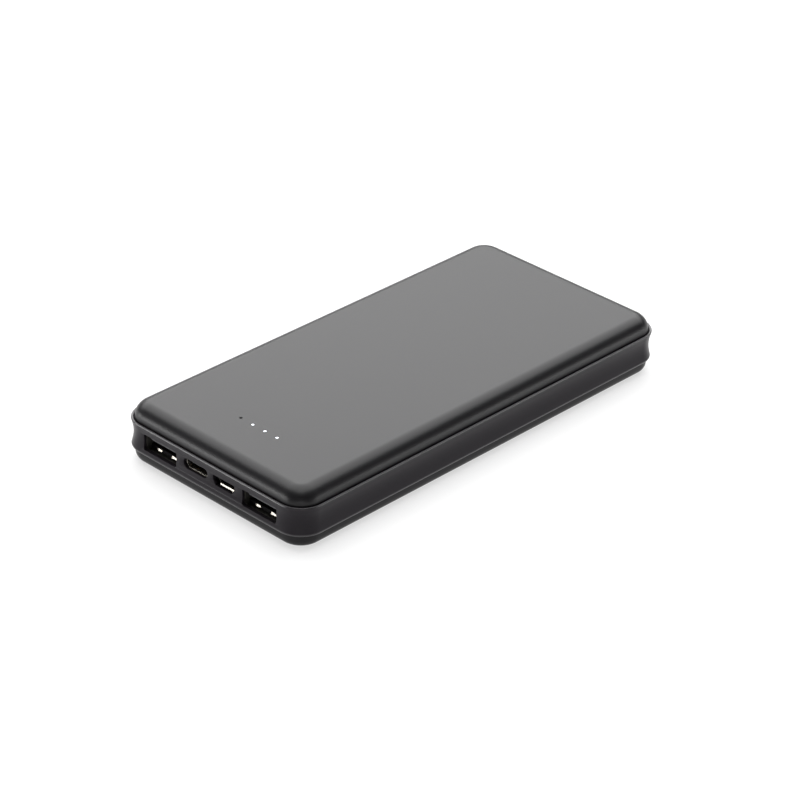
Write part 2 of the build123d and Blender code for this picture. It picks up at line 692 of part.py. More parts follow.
with BuildPart() as tact_switch_body:
    with Locations((switch_mid_x, BUTTON_Y, switch_mid_z)):
        Box(*SWITCH_BODY)
    with BuildSketch(Plane.YZ.offset(SWITCH_FRONT_X)):
        with Locations((BUTTON_Y, BUTTON_Z)):
            Rectangle(PLUNGER[0] + 2 * PLUNGER_SLOT_SPARE, PLUNGER[1] + 2 * PLUNGER_SLOT_SPARE)
    extrude(amount=SWITCH_POCKET_DEPTH, mode=Mode.SUBTRACT)
save(tact_switch_body, "tact_switch_body")

with BuildPart() as tact_switch_cover:
    cover_x = SWITCH_BODY[0] * SWITCH_COVER_SHARE
    with Locations((switch_mid_x, BUTTON_Y, BOARD_TOP + SWITCH_BODY[2])):
        Box(
            cover_x,
            SWITCH_BODY[1] + 2 * SWITCH_COVER_WALL,
            SWITCH_COVER_WALL,
            align=(Align.CENTER, Align.CENTER, Align.MIN),
        )
    for side in (-1, 1):
        wall_y = BUTTON_Y + side * (SWITCH_BODY[1] + SWITCH_COVER_WALL) / 2
        with Locations((switch_mid_x, wall_y, BOARD_TOP)):
            Box(
                cover_x,
                SWITCH_COVER_WALL,
                SWITCH_BODY[2],
                align=(Align.CENTER, Align.CENTER, Align.MIN),
            )
save(tact_switch_cover, "tact_switch_cover")

with BuildPart() as tact_switch_plunger:
    plunger_back_x = SWITCH_FRONT_X + SWITCH_POCKET_DEPTH - BUTTON_TRAVEL - PLUNGER_END_GAP
    with Locations(((PLUNGER_TIP_X + plunger_back_x) / 2, BUTTON_Y, BUTTON_Z)):
        Box(plunger_back_x - PLUNGER_TIP_X, *PLUNGER)
    tip_face = tact_switch_plunger.faces().sort_by(Axis.X)[0]
    chamfer(tip_face.edges(), PLUNGER_CHAMFER)
save(tact_switch_plunger, "tact_switch_plunger")


# ---- Parts on the board's underside and top -----------------------------------------

INDUCTOR = (8.0, 8.0, 3.2)
INDUCTOR_PLACE = (5.6, -52.4)
COIL_PLATE = 0.4
INDUCTOR_ROUND = 1.0
TERMINAL = (1.4, 4.8)
TERMINAL_INSET = 0.8
CHIP = (5.0, 5.0, 0.9)
CHIP_PLACE = (-3.2, -53.2)
TRANSISTOR = (3.3, 3.3, 0.8)
TRANSISTOR_PLACES = ((-8.3, -50.4), (-8.3, -54.6), (-12.2, -50.4), (12.2, -50.4))
CAPACITOR = (3.2, 1.6, 1.5)
CAPACITOR_PLACES = ((-18.0, -49.0), (-18.0, -52.0), (18.6, -49.0), (18.6, -52.0), (-3.2, -48.4))
RESISTOR = (1.6, 0.8, 0.5)
RESISTOR_PLACES = tuple((x, -58.2) for x in (-9.6, -7.0, -4.4, 4.6, 7.2, 9.8))

with BuildPart() as inductor_core:
    with Locations((*INDUCTOR_PLACE, BOARD_BOTTOM - COIL_PLATE - INDUCTOR[2] / 2)):
        Box(*INDUCTOR)
    fillet(inductor_core.edges().filter_by(Axis.Z), INDUCTOR_ROUND)
save(inductor_core, "inductor_core")

with BuildPart() as inductor_terminals:
    for side in (-1, 1):
        place_x = INDUCTOR_PLACE[0] + side * (INDUCTOR[0] / 2 - TERMINAL_INSET)
        with Locations((place_x, INDUCTOR_PLACE[1], BOARD_BOTTOM - COIL_PLATE / 2)):
            Box(*TERMINAL, COIL_PLATE)
save(inductor_terminals, "inductor_terminals")

plate("charge_controller", CHIP, (*CHIP_PLACE, BOARD_BOTTOM - CHIP[2] / 2))

with BuildPart() as power_transistors:
    for place in TRANSISTOR_PLACES:
        with Locations((*place, BOARD_BOTTOM - TRANSISTOR[2] / 2)):
            Box(*TRANSISTOR)
save(power_transistors, "power_transistors")

with BuildPart() as capacitors:
    for place in CAPACITOR_PLACES:
        with Locations((*place, BOARD_BOTTOM - CAPACITOR[2] / 2)):
            Box(*CAPACITOR)
save(capacitors, "capacitors")

with BuildPart() as resistors:
    for place in RESISTOR_PLACES:
        with Locations((*place, BOARD_TOP + RESISTOR[2] / 2)):
            Box(*RESISTOR)
save(resistors, "resistors")
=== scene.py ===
"""Looks of the slim power bank: soft-touch covers on a waisted frame, metal USB sockets,
a four-light charge gauge and a side button, in a plain pale studio."""

import math

import bmesh
import bpy
from mathutils import Matrix, Vector


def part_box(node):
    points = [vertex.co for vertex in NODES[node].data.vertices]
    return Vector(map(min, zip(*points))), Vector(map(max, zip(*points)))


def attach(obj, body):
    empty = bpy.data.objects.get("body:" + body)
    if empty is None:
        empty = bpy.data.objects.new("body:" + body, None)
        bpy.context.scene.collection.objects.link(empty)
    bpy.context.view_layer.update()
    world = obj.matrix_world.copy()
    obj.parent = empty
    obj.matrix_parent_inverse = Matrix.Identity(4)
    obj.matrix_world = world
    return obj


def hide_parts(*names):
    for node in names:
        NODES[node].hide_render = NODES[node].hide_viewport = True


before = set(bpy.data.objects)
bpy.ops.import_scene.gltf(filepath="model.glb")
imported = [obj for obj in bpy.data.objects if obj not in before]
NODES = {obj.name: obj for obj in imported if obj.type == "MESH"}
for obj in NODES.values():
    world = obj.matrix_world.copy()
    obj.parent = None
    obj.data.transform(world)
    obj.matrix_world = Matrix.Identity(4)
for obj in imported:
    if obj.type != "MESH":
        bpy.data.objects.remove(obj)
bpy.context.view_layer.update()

MM = 0.001


def box_mm(name):
    """Lowest and highest corner of a CAD node, in millimetres."""
    low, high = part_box(name)
    return low / MM, high / MM


FRAME_LOW, FRAME_HIGH = box_mm("side_frame")
FRAME_SIZE = FRAME_HIGH - FRAME_LOW
HEIGHT = box_mm("top_cover")[1].z
MID_HEIGHT = HEIGHT / 2
CORNER_RADIUS = 7.6
CORNER_STEPS = 24
CREASE_DEGREES = 35.0
# Round ends stop a hair short of a full half circle, so that no two points meet.
NEARLY = 0.999
HAIR = 0.001


# ---- Small tools --------------------------------------------------------------------


def linear(code):
    """A '#rrggbb' sRGB colour as linear RGBA."""
    channels = [int(code[i : i + 2], 16) / 255 for i in (1, 3, 5)]
    light = [c / 12.92 if c <= 0.04045 else ((c + 0.055) / 1.055) ** 2.4 for c in channels]
    return (*light, 1.0)


def add_node(tree, kind, values=None, links=None, **settings):
    """Adds a node with its settings, then its constant inputs, then its links."""
    node = tree.nodes.new(kind)
    for name, value in settings.items():
        setattr(node, name, value)
    for socket, value in (values or {}).items():
        node.inputs[socket].default_value = value
    for socket, source in (links or {}).items():
        tree.links.new(source, node.inputs[socket])
    return node


def new_object(name, mesh):
    """A mesh object in the scene, at the origin."""
    piece = bpy.data.objects.new(name, mesh)
    bpy.context.scene.collection.objects.link(piece)
    return piece


def signed_volume(mesh):
    """Positive when the faces of a closed mesh point outwards."""
    total = 0.0
    for face in mesh.polygons:
        points = [mesh.vertices[i].co for i in face.vertices]
        for second, third in zip(points[1:], points[2:]):
            total += points[0].dot(second.cross(third)) / 6
    return total


def finish_mesh(piece, material, sharp_degrees=CREASE_DEGREES):
    """Smooth shading with creases, one material, and faces that point outwards."""
    mesh = piece.data
    if signed_volume(mesh) < 0:
        mesh.flip_normals()
    mesh.materials.clear()
    mesh.materials.append(material)
    mesh.polygons.foreach_set("use_smooth", [True] * len(mesh.polygons))
    mesh.set_sharp_from_angle(angle=math.radians(sharp_degrees))
    return piece


def bake_modifiers(piece):
    """Turns the modifiers of a piece into plain mesh."""
    graph = bpy.context.evaluated_depsgraph_get()
    mesh = bpy.data.meshes.new_from_object(piece.evaluated_get(graph))
    piece.modifiers.clear()
    piece.data = mesh
    return piece


def stand_for(piece, body, slot, *nodes):
    """The piece rides on a body in place of CAD nodes; the slot argument is not used."""
    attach(piece, body)
    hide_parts(*nodes)


# ---- Materials ----------------------------------------------------------------------


PLASTIC_IOR = 1.5


def new_material(name, colour, roughness, metallic=0.0, **sockets):
    """A material with one Principled shader; returns it with its tree and shader."""
    material = bpy.data.materials.new(name)
    material.use_nodes = True
    tree = material.node_tree
    tree.nodes.clear()
    values = {"Base Color": linear(colour), "Roughness": roughness, "Metallic": metallic}
    values.update({key.replace("_", " "): value for key, value in sockets.items()})
    if not metallic:
        values["IOR"] = PLASTIC_IOR
    shader = add_node(tree, "ShaderNodeBsdfPrincipled", values)
    add_node(tree, "ShaderNodeOutputMaterial", links={"Surface": shader.outputs["BSDF"]})
    return material, tree, shader


GRAIN_DETAIL = 2.0
GRAIN_ROUGHNESS = 0.55


def grain(tree, shader, size_mm, depth_mm, stretch=(1, 1, 1)):
    """A fine bumpy grain of a given width and depth, on Object coordinates."""
    place = add_node(tree, "ShaderNodeTexCoord")
    turn = add_node(
        tree,
        "ShaderNodeMapping",
        {"Scale": stretch},
        {"Vector": place.outputs["Object"]},
    )
    noise = add_node(
        tree,
        "ShaderNodeTexNoise",
        {
            "Scale": 1 / (size_mm * MM),
            "Detail": GRAIN_DETAIL,
            "Roughness": GRAIN_ROUGHNESS,
        },
        {"Vector": turn.outputs["Vector"]},
    )
    bump = add_node(
        tree,
        "ShaderNodeBump",
        {"Strength": 1.0, "Distance": depth_mm * MM},
        {"Height": noise.outputs["Fac"]},
    )
    tree.links.new(bump.outputs["Normal"], shader.inputs["Normal"])
    return noise


def vary(tree, noise, socket, low, high):
    """Drives a shader socket between two values, or two colours, by a noise."""
    kind = "RGBA" if isinstance(low, tuple) else "FLOAT"
    mix = add_node(tree, "ShaderNodeMix", data_type=kind)
    tree.links.new(noise.outputs["Fac"], mix.inputs[0])
    first, second = [s for s in mix.inputs if s.name in ("A", "B") and s.enabled][:2]
    first.default_value = low
    second.default_value = high
    result = [s for s in mix.outputs if s.enabled][0]
    tree.links.new(result, socket)


def soft_touch_abs(name, shine):
    """Moulded ABS under a soft-touch lacquer: almost black, with a fine dull grain that
    spreads every highlight. The real grain is 0.1 mm; it is drawn at 0.35 mm to show.
    The copy on the bottom cover gets less shine as painted shade: it dims the floor's
    reflection there in place of the deeper shade near the floor."""
    material, tree, shader = new_material(name, "#151416", 0.36, Specular_IOR_Level=shine)
    noise = grain(tree, shader, 0.35, 0.009)
    vary(tree, noise, shader.inputs["Base Color"], linear("#131214"), linear("#181719"))
    vary(tree, noise, shader.inputs["Roughness"], 0.33, 0.41)
    return material


# Heights in mm for the painted highlight on the ridges: the middle between the two ridges, and
# how far from it the highlight starts.
RIDGE_HIGHLIGHT_MIDDLE = MID_HEIGHT + 0.12
RIDGE_HIGHLIGHT_RISE = (3.73, 3.83)


def paint_ridge_highlight(tree, socket, dull, bright):
    """Painted highlight on the two ridges: the shine rises past a height from the middle."""
    place = add_node(tree, "ShaderNodeTexCoord")
    height = add_node(tree, "ShaderNodeSeparateXYZ", links={"Vector": place.outputs["Object"]})
    offset = add_node(
        tree,
        "ShaderNodeMath",
        {1: RIDGE_HIGHLIGHT_MIDDLE * MM},
        {0: height.outputs["Z"]},
        operation="SUBTRACT",
    )
    reach = add_node(tree, "ShaderNodeMath", links={0: offset.outputs[0]}, operation="ABSOLUTE")
    low, high = RIDGE_HIGHLIGHT_RISE
    shine = add_node(
        tree,
        "ShaderNodeMapRange",
        {"From Min": low * MM, "From Max": high * MM, "To Min": dull, "To Max": bright},
        {"Value": reach.outputs[0]},
    )
    tree.links.new(shine.outputs["Result"], socket)


def satin_abs():
    """Bare moulded ABS with a satin spark-eroded finish: a little smoother and greyer
    than the lacquered covers, with a painted highlight of extra shine on its ridges. The grain
    is 0.1 mm, drawn at 0.4 mm to show."""
    material, tree, shader = new_material("satin_moulded_abs", "#232024", 0.3)
    noise = grain(tree, shader, 0.4, 0.0012)
    vary(tree, noise, shader.inputs["Base Color"], linear("#201d21"), linear("#262327"))
    vary(tree, noise, shader.inputs["Roughness"], 0.26, 0.34)
    # Painted highlight: more shine on the ridges, set by height.
    paint_ridge_highlight(tree, shader.inputs["Specular IOR Level"], 0.11, 0.5)
    return material


def nickel_plate():
    """Nickel-plated steel, as spring fingers and shell lips are: bright, faintly
    streaked along the drawing direction."""
    material, tree, shader = new_material("nickel_plated_steel", "#85817a", 0.22, 1.0)
    noise = grain(tree, shader, 0.3, 0.0002, stretch=(1, 0.15, 1))
    vary(tree, noise, shader.inputs["Roughness"], 0.18, 0.26)
    return material


def dull_nickel():
    """The drawn walls of a socket shell: the same plating, left dull by the drawing."""
    material, tree, shader = new_material("dull_nickel_plate", "#5c5a56", 0.5, 1.0)
    noise = grain(tree, shader, 0.3, 0.0002, stretch=(1, 0.15, 1))
    vary(tree, noise, shader.inputs["Roughness"], 0.45, 0.55)
    return material


def gold_plate():
    """Flash gold on phosphor bronze: warm and smooth, on every contact."""
    material, tree, shader = new_material("gold_plated_bronze", "#d8a24a", 0.22, 1.0)
    noise = grain(tree, shader, 0.15, 0.0008)
    vary(tree, noise, shader.inputs["Roughness"], 0.16, 0.3)
    return material


def black_nylon():
    """Glass-filled nylon, moulded: its black is greyed and mottled by the fibres."""
    material, tree, shader = new_material("glass_filled_black_nylon", "#48484b", 0.5)
    noise = grain(tree, shader, 0.25, 0.003)
    vary(tree, noise, shader.inputs["Base Color"], linear("#434346"), linear("#505053"))
    return material


ROUGHNESS_SPREAD = 0.15


def plain(name, colour, second, roughness, size_mm, depth_mm, metallic=0.0):
    """A finish mottled between two close colours, with a fine grain."""
    material, tree, shader = new_material(name, colour, roughness, metallic)
    noise = grain(tree, shader, size_mm, depth_mm)
    smooth = roughness * (1 - ROUGHNESS_SPREAD)
    rough = min(1, roughness * (1 + ROUGHNESS_SPREAD))
    vary(tree, noise, shader.inputs["Roughness"], smooth, rough)
    vary(tree, noise, shader.inputs["Base Color"], linear(colour), linear(second))
    return material


def glowing_lens(name, colour, glow, shine):
    """Milky acrylic light-guide tip; a lit one glows white from its LED below."""
    material, tree, shader = new_material(name, colour, 0.3, Specular_IOR_Level=shine)
    noise = grain(tree, shader, 0.3, 0.002)
    vary(tree, noise, shader.inputs["Roughness"], 0.25, 0.4)
    shader.inputs["Emission Color"].default_value = linear("#f4f8ff")
    shader.inputs["Emission Strength"].default_value = glow
    return material


SOFT_TOUCH = soft_touch_abs("soft_touch_lacquered_abs", 0.31)
# The bottom cover's copy has less shine, as painted shade for the deeper shade near the floor.
SOFT_BASE_SHADED = soft_touch_abs("soft_touch_base_painted_shade", 0.22)
SATIN = satin_abs()
NICKEL = nickel_plate()
DULL_NICKEL = dull_nickel()
GOLD = gold_plate()
NYLON = black_nylon()
LENS_LIT = glowing_lens("lit_acrylic_lens", "#e8ecf2", 1.3, 0.5)
# The unlit lens is the same milky part, painted near black with almost no shine: painted shade
# for the dark of its hole.
LENS_PAINTED_SHADE = glowing_lens("unlit_lens_painted_shade", "#0c0c0e", 0.0, 0.03)
# Clear acrylic light guide, frosted milky by its moulding.
GUIDE = plain("milky_acrylic", "#d9dde2", "#e6e9ed", 0.25, 0.5, 0.001)

# Aluminium laminate round the cell: silvery, soft, faintly wrinkled.
POUCH = plain("aluminium_laminate_pouch", "#a9abae", "#b7b9bb", 0.38, 6.0, 0.12, 1.0)
# Polyimide tape: clear amber film over the pouch.
POLYIMIDE = plain("polyimide_tape", "#a8611a", "#b97224", 0.22, 2.0, 0.01)
# Pure nickel strip, rolled: warm grey metal.
NICKEL_STRIP = plain("rolled_nickel_strip", "#b9b4a9", "#c4bfb5", 0.3, 0.4, 0.002, 1.0)
# Closed-cell polyurethane foam: dull dark grey with open pores.
FOAM = plain("polyurethane_foam", "#2b2b2d", "#3a3a3c", 0.9, 0.5, 0.08)
# Glass-epoxy board under green solder mask: glossy, with the weave just showing.
BOARD = plain("green_solder_mask", "#0d3d22", "#115030", 0.32, 1.2, 0.006)
# Zinc-plated steel screws.
SCREW_STEEL = plain("zinc_plated_steel", "#aeb0b2", "#bcbec0", 0.32, 0.3, 0.002, 1.0)
# White ceramic LED packages with a yellowish phosphor.
LED_BODY = plain("phosphor_led", "#e6e2b8", "#f0eed8", 0.4, 0.4, 0.003)
# Matt black acetal: the light baffle and the switch plunger.
ACETAL = plain("matt_black_acetal", "#101011", "#171718", 0.45, 0.3, 0.003)
# Pressed ferrite: dark grey, stony.
FERRITE = plain("pressed_ferrite", "#2e2f31", "#3c3d3f", 0.7, 0.4, 0.02)
# Tin on copper terminals: bright, slightly dull.
TINNED = plain("tinned_copper", "#c6c8c9", "#d2d3d3", 0.34, 0.3, 0.002, 1.0)
# Black moulding epoxy on the chips.
EPOXY = plain("chip_moulding_epoxy", "#161617", "#202021", 0.5, 0.25, 0.003)
# Barium titanate capacitors: tan ceramic.
CERAMIC = plain("tan_ceramic", "#9b7a55", "#aa8963", 0.5, 0.3, 0.003)


# ---- Shells swept round the outline -------------------------------------------------


def new_group(name, sockets):
    """A Geometry Nodes tree with named inputs; returns it with the identifiers of those
    inputs and the sockets that carry their values."""
    tree = bpy.data.node_groups.new(name, "GeometryNodeTree")
    tree.interface.new_socket("Geometry", in_out="OUTPUT", socket_type="NodeSocketGeometry")
    inputs = {}
    for label, kind in sockets:
        socket = tree.interface.new_socket(label, in_out="INPUT", socket_type=kind)
        inputs[label] = socket.identifier
    return tree, inputs, add_node(tree, "NodeGroupInput").outputs


def finish_group(tree, mesh, material):
    """Ends a tree with real geometry in one material."""
    real = add_node(tree, "GeometryNodeRealizeInstances", links={"Geometry": mesh})
    painted = add_node(
        tree,
        "GeometryNodeSetMaterial",
        links={"Geometry": real.outputs["Geometry"], "Material": material},
    )
    add_node(tree, "NodeGroupOutput", links={"Geometry": painted.outputs["Geometry"]})


def swept_outline_tree():
    """Geometry Nodes: a section carried round a rounded rectangle."""
    sockets = (
        ("Width", "NodeSocketFloat"),
        ("Length", "NodeSocketFloat"),
        ("Corner Radius", "NodeSocketFloat"),
        ("Corner Steps", "NodeSocketInt"),
        ("Section", "NodeSocketObject"),
        ("Material", "NodeSocketMaterial"),
    )
    tree, inputs, given = new_group("section_round_outline", sockets)
    rectangle = add_node(
        tree,
        "GeometryNodeCurvePrimitiveQuadrilateral",
        links={"Width": given["Width"], "Height": given["Length"]},
    )
    rounded = add_node(
        tree,
        "GeometryNodeFilletCurve",
        links={
            "Curve": rectangle.outputs["Curve"],
            "Radius": given["Corner Radius"],
            "Count": given["Corner Steps"],
        },
        mode="POLY",
    )
    upright = add_node(
        tree,
        "GeometryNodeSetCurveNormal",
        links={"Curve": rounded.outputs["Curve"]},
        mode="Z_UP",
    )
    section = add_node(tree, "GeometryNodeObjectInfo", links={"Object": given["Section"]})
    skin = add_node(
        tree,
        "GeometryNodeCurveToMesh",
        links={
            "Curve": upright.outputs["Curve"],
            "Profile Curve": section.outputs["Geometry"],
        },
    )
    finish_group(tree, skin.outputs["Mesh"], given["Material"])
    return tree, inputs


SWEEP_TREE, SWEEP_INPUTS = swept_outline_tree()


def run_tree(name, tree, inputs, values):
    """A plain mesh object made by a Geometry Nodes tree with the given inputs."""
    piece = new_object(name, bpy.data.meshes.new(name))
    modifier = piece.modifiers.new(name, "NODES")
    modifier.node_group = tree
    for key, value in values.items():
        modifier[inputs[key]] = value
    return bake_modifiers(piece)


def sweep_round(name, section, closed, material):
    """Sweeps a section, given as (inset, height) in mm, round the outline."""
    curve = bpy.data.curves.new(name + "_section", "CURVE")
    curve.dimensions = "2D"
    spline = curve.splines.new("POLY")
    spline.points.add(len(section) - 1)
    for point, (inset, height) in zip(spline.points, section):
        point.co = (-inset * MM, -height * MM, 0, 1)
    spline.use_cyclic_u = closed
    guide = bpy.data.objects.new(name + "_section", curve)
    bpy.context.scene.collection.objects.link(guide)
    values = {
        "Width": FRAME_SIZE.x * MM,
        "Length": FRAME_SIZE.y * MM,
        "Corner Radius": CORNER_RADIUS * MM,
        "Corner Steps": CORNER_STEPS,
        "Section": guide,
        "Material": material,
    }
    piece = run_tree(name, SWEEP_TREE, SWEEP_INPUTS, values)
    bpy.data.objects.remove(guide)
    return piece


def arc(centre, radius, start, end, steps):
    """Points (inset, height) on an arc; 0 degrees points up and 90 points outwards."""
    points = []
    for i in range(steps + 1):
        angle = math.radians(start + (end - start) * i / steps)
        x = centre[0] - radius * math.sin(angle)
        points.append((x, centre[1] + radius * math.cos(angle)))
    return points


def close_plate(piece):
    """Fills the two open loops in the middle of a swept cover."""
    mesh = piece.data
    work = bmesh.new()
    work.from_mesh(mesh)
    rims = [e for e in work.edges if e.is_boundary]
    bmesh.ops.holes_fill(work, edges=rims, sides=0)
    bmesh.ops.recalc_face_normals(work, faces=work.faces)
    work.to_mesh(mesh)
    work.free()


def cut(piece, cutter):
    """Takes a cutter's shape out of a piece; the cutter is used up."""
    modifier = piece.modifiers.new("cut", "BOOLEAN")
    modifier.operation = "DIFFERENCE"
    modifier.solver = "EXACT"
    modifier.object = cutter
    bake_modifiers(piece)
    bpy.data.objects.remove(cutter)


def soften(piece, width_mm, degrees):
    """Rounds the edges of a piece that turn by more than some degrees."""
    modifier = piece.modifiers.new("soften", "BEVEL")
    modifier.width = width_mm * MM
    modifier.segments = 2
    modifier.limit_method = "ANGLE"
    modifier.angle_limit = math.radians(degrees)
    modifier.harden_normals = False
    bake_modifiers(piece)


# ---- Outlines and lofts -------------------------------------------------------------


def rounded_rectangle(width, height, radius, steps=6):
    """Anticlockwise outline points in mm, centred on the origin."""
    points = []
    for quarter, (sx, sy) in enumerate(((1, 1), (-1, 1), (-1, -1), (1, -1))):
        centre = (sx * (width / 2 - radius), sy * (height / 2 - radius))
        for i in range(steps + 1):
            angle = math.radians(90 * quarter + 90 * i / steps)
            x = centre[0] + radius * math.cos(angle)
            points.append((x, centre[1] + radius * math.sin(angle)))
    return points


MICRO_CUT_BACK = 0.36


def micro_outline(width, height, radius):
    """Anticlockwise micro-USB outline: wide face up, lower corners cut back."""
    half = width / 2
    foot = half - MICRO_CUT_BACK * height
    corners = [
        (half, 0.0),
        (half, height / 2),
        (-half, height / 2),
        (-half, 0.0),
        (-foot, -height / 2),
        (foot, -height / 2),
    ]
    return round_corners(corners, radius, 4)


def round_corners(corners, radius, steps):
    """Rounds every corner of an anticlockwise outline."""
    points = []
    count = len(corners)
    for i in range(count):
        before, here, after = (Vector(corners[(i + k) % count]) for k in (-1, 0, 1))
        back = (before - here).normalized()
        ahead = (after - here).normalized()
        half_angle = back.angle(ahead) / 2
        centre = here + (back + ahead).normalized() * radius / math.sin(half_angle)
        reach = radius / math.tan(half_angle)
        first = here + back * reach - centre
        last = here + ahead * reach - centre
        for k in range(steps + 1):
            mixed = (first * (1 - k / steps) + last * (k / steps)).normalized() * radius
            points.append(tuple(centre + mixed))
    return points


def loft(name, rings, material, closed_loop=False, sharp_degrees=CREASE_DEGREES):
    """Skins rings of equal point count; the ends are capped unless the loop closes."""
    mesh = bpy.data.meshes.new(name)
    count = len(rings[0])
    vertices = [tuple(c * MM for c in point) for ring in rings for point in ring]
    faces = []
    last = len(rings) if closed_loop else len(rings) - 1
    for r in range(last):
        start, above = r * count, (r + 1) % len(rings) * count
        for i in range(count):
            j = (i + 1) % count
            faces.append((start + i, start + j, above + j, above + i))
    if not closed_loop:
        faces.append(tuple(reversed(range(count))))
        faces.append(tuple(range((len(rings) - 1) * count, len(rings) * count)))
    mesh.from_pydata(vertices, [], faces)
    mesh.update()
    return finish_mesh(new_object(name, mesh), material, sharp_degrees)


def facing_front(outline, x, z, y):
    """An outline stood up in the end wall, at depth y."""
    return [(x + px, y, z + pz) for px, pz in outline]


def facing_side(outline, y, z, x):
    """An outline stood up in the long wall, at depth x."""
    return [(x, y + py, z + pz) for py, pz in outline]


def joined(name, pieces):
    """Several pieces as one, all in the first one's material."""
    work = bmesh.new()
    for piece in pieces:
        work.from_mesh(piece.data)
    mesh = bpy.data.meshes.new(name)
    work.to_mesh(mesh)
    work.free()
    mesh.materials.append(pieces[0].data.materials[0])
    for piece in pieces:
        bpy.data.objects.remove(piece)
    whole = new_object(name, mesh)
    mesh.polygons.foreach_set("use_smooth", [True] * len(mesh.polygons))
    mesh.set_sharp_from_angle(angle=math.radians(CREASE_DEGREES))
    return whole


# ---- Covers -------------------------------------------------------------------------

# Millimetres: insets from the outline, and rises from the middle height.
COVER_INSET = 1.0
COVER_ROUNDS = {1: 4.4, -1: 2.5}
COVER_SKIN = 1.7
SHOULDER_RISE = 3.5
RIM_EDGE = ((0, 0.12), (0.04, 0.03), (0.12, 0))
LIP_OUTSIDE, LIP_INSIDE, LIP_REACH = 3.1, 4.1, 1.6
CROWN_FILLET = ((0, 0.4), (0.12, 0.12), (0.4, 0))
PLATE_MARGIN = 0.3
PLATE_INSET = 6.0


def cover_section(up):
    """Half section of a cover as (inset, height), from its face round to its inside."""
    top = MID_HEIGHT
    foot = SHOULDER_RISE
    inside = top - COVER_SKIN
    radius = COVER_ROUNDS[up]
    rises = [(PLATE_INSET, top), (COVER_INSET + radius + PLATE_MARGIN, top)]
    rises += arc((COVER_INSET + radius, top - radius), radius, 0, 90, 20)
    rises += [(COVER_INSET + across, foot + up_by) for across, up_by in RIM_EDGE]
    rises += [(LIP_OUTSIDE, foot), (LIP_OUTSIDE, foot - LIP_REACH)]
    rises += [(LIP_INSIDE, foot - LIP_REACH)]
    rises += [(LIP_INSIDE + across, inside - down_by) for across, down_by in CROWN_FILLET]
    rises.append((PLATE_INSET, inside))
    return [(inset, MID_HEIGHT + up * rise) for inset, rise in rises]


def make_cover(name, up, material):
    """One cover: a swept rim closed by its plate."""
    cover = sweep_round(name + "_shell", cover_section(up), False, material)
    close_plate(cover)
    return cover


GAUGE_HOLE = 0.47
DRILL_DEPTH = 4.0
LED_LENGTH = 1.6
GAUGE_LIGHTS = 4


def gauge_places():
    """The middles of the gauge lights, read from their LEDs."""
    low, high = box_mm("indicator_leds")
    first = low.x + LED_LENGTH / 2
    pitch = (high.x - low.x - LED_LENGTH) / (GAUGE_LIGHTS - 1)
    return [(first + i * pitch, (low.y + high.y) / 2) for i in range(GAUGE_LIGHTS)]


top_shell = make_cover("top_cover", 1, SOFT_TOUCH)
circle = rounded_rectangle(2 * GAUGE_HOLE, 2 * GAUGE_HOLE, GAUGE_HOLE * NEARLY, 8)
for gauge_x, gauge_y in gauge_places():
    drill_rings = []
    for z in (HEIGHT - DRILL_DEPTH, HEIGHT + 1):
        drill_rings.append([(gauge_x + x, gauge_y + y, z) for x, y in circle])
    cut(top_shell, loft("drill", drill_rings, SOFT_TOUCH))
finish_mesh(top_shell, SOFT_TOUCH)
stand_for(top_shell, "case", "cover", "top_cover")

bottom_shell = make_cover("bottom_cover", -1, SOFT_BASE_SHADED)
finish_mesh(bottom_shell, SOFT_BASE_SHADED)
stand_for(bottom_shell, "case", "cover", "bottom_cover")


# ---- Side frame ---------------------------------------------------------------------

# Millimetres: insets from the outline, and rises from the middle height.
WAIST_DEPTH = 0.62
FLANK = (0.26, 2.8)
FLANK_STEPS = 8
FRAME_DEPTH = 3.0
CREST = (
    (0.215, 3.05),
    (0.15, 3.32),
    (0.08, 3.58),
    (0.018, 3.79),
    (0.004, 3.86),
    (0.002, 3.9),
    (0.014, 3.94),
    (0.1, 4.15),
    (0.135, 4.21),
    (0.2, 4.26),
    (0.32, 4.27),
    (0.5, 4.24),
    (0.7, 4.15),
    (0.84, 4.03),
    (0.9, 3.93),
)


def frame_section():
    """Whole section of the side frame as (inset, height), waist first: a hollow flank, then
    a bead whose outer face leans in a little and whose back falls into the seam."""
    upper = []
    for i in range(FLANK_STEPS + 1):
        rise = FLANK[1] * i / FLANK_STEPS
        depth = WAIST_DEPTH - (WAIST_DEPTH - FLANK[0]) * (rise / FLANK[1]) ** 2
        upper.append((depth, rise))
    upper += CREST
    upper += [(CREST[-1][0], SHOULDER_RISE), (FRAME_DEPTH, SHOULDER_RISE)]
    lower = [(depth, -rise) for depth, rise in reversed(upper[1:])]
    return [(depth, MID_HEIGHT + rise) for depth, rise in upper + lower]


# Windows in the end wall: width, height and corner radius; then the shells behind them.
USB_A_WINDOW = (12.65, 4.75, 0.45)
USB_C_WINDOW = (9.2, 3.1, 1.549)
MICRO_WINDOW = (8.2, 2.9, 0.35)
POCKET_Y = FRAME_LOW.y + 1.4
POCKET_SPARE = 0.12
USB_A_POCKET_RADIUS, USB_C_POCKET_RADIUS, MICRO_POCKET_RADIUS = 0.3, 1.74, 0.3
USB_A_OUTER = (13.1, 5.7)
USB_C_OUTER = (8.94, 3.26)
MICRO_OUTER = (7.7, 2.7)
SHELL_WALL = 0.3
MICRO_LIP_HALF = 2.6
BUTTON_SIZE = (10.0, 3.2)
BUTTON_GAP = 0.12


def middle(name):
    """Middle of a CAD node, in mm."""
    low, high = box_mm(name)
    return (low + high) / 2


USB_A_PLACES = {side: middle(f"usb_a_contacts_{side}").x for side in ("left", "right")}
USB_A_Z = middle("usb_a_shell_left").z
USB_C_PLACE = middle("usb_c_shell")
MICRO_PLACE = middle("micro_usb_shell")
BUTTON_PLACE = middle("power_button")


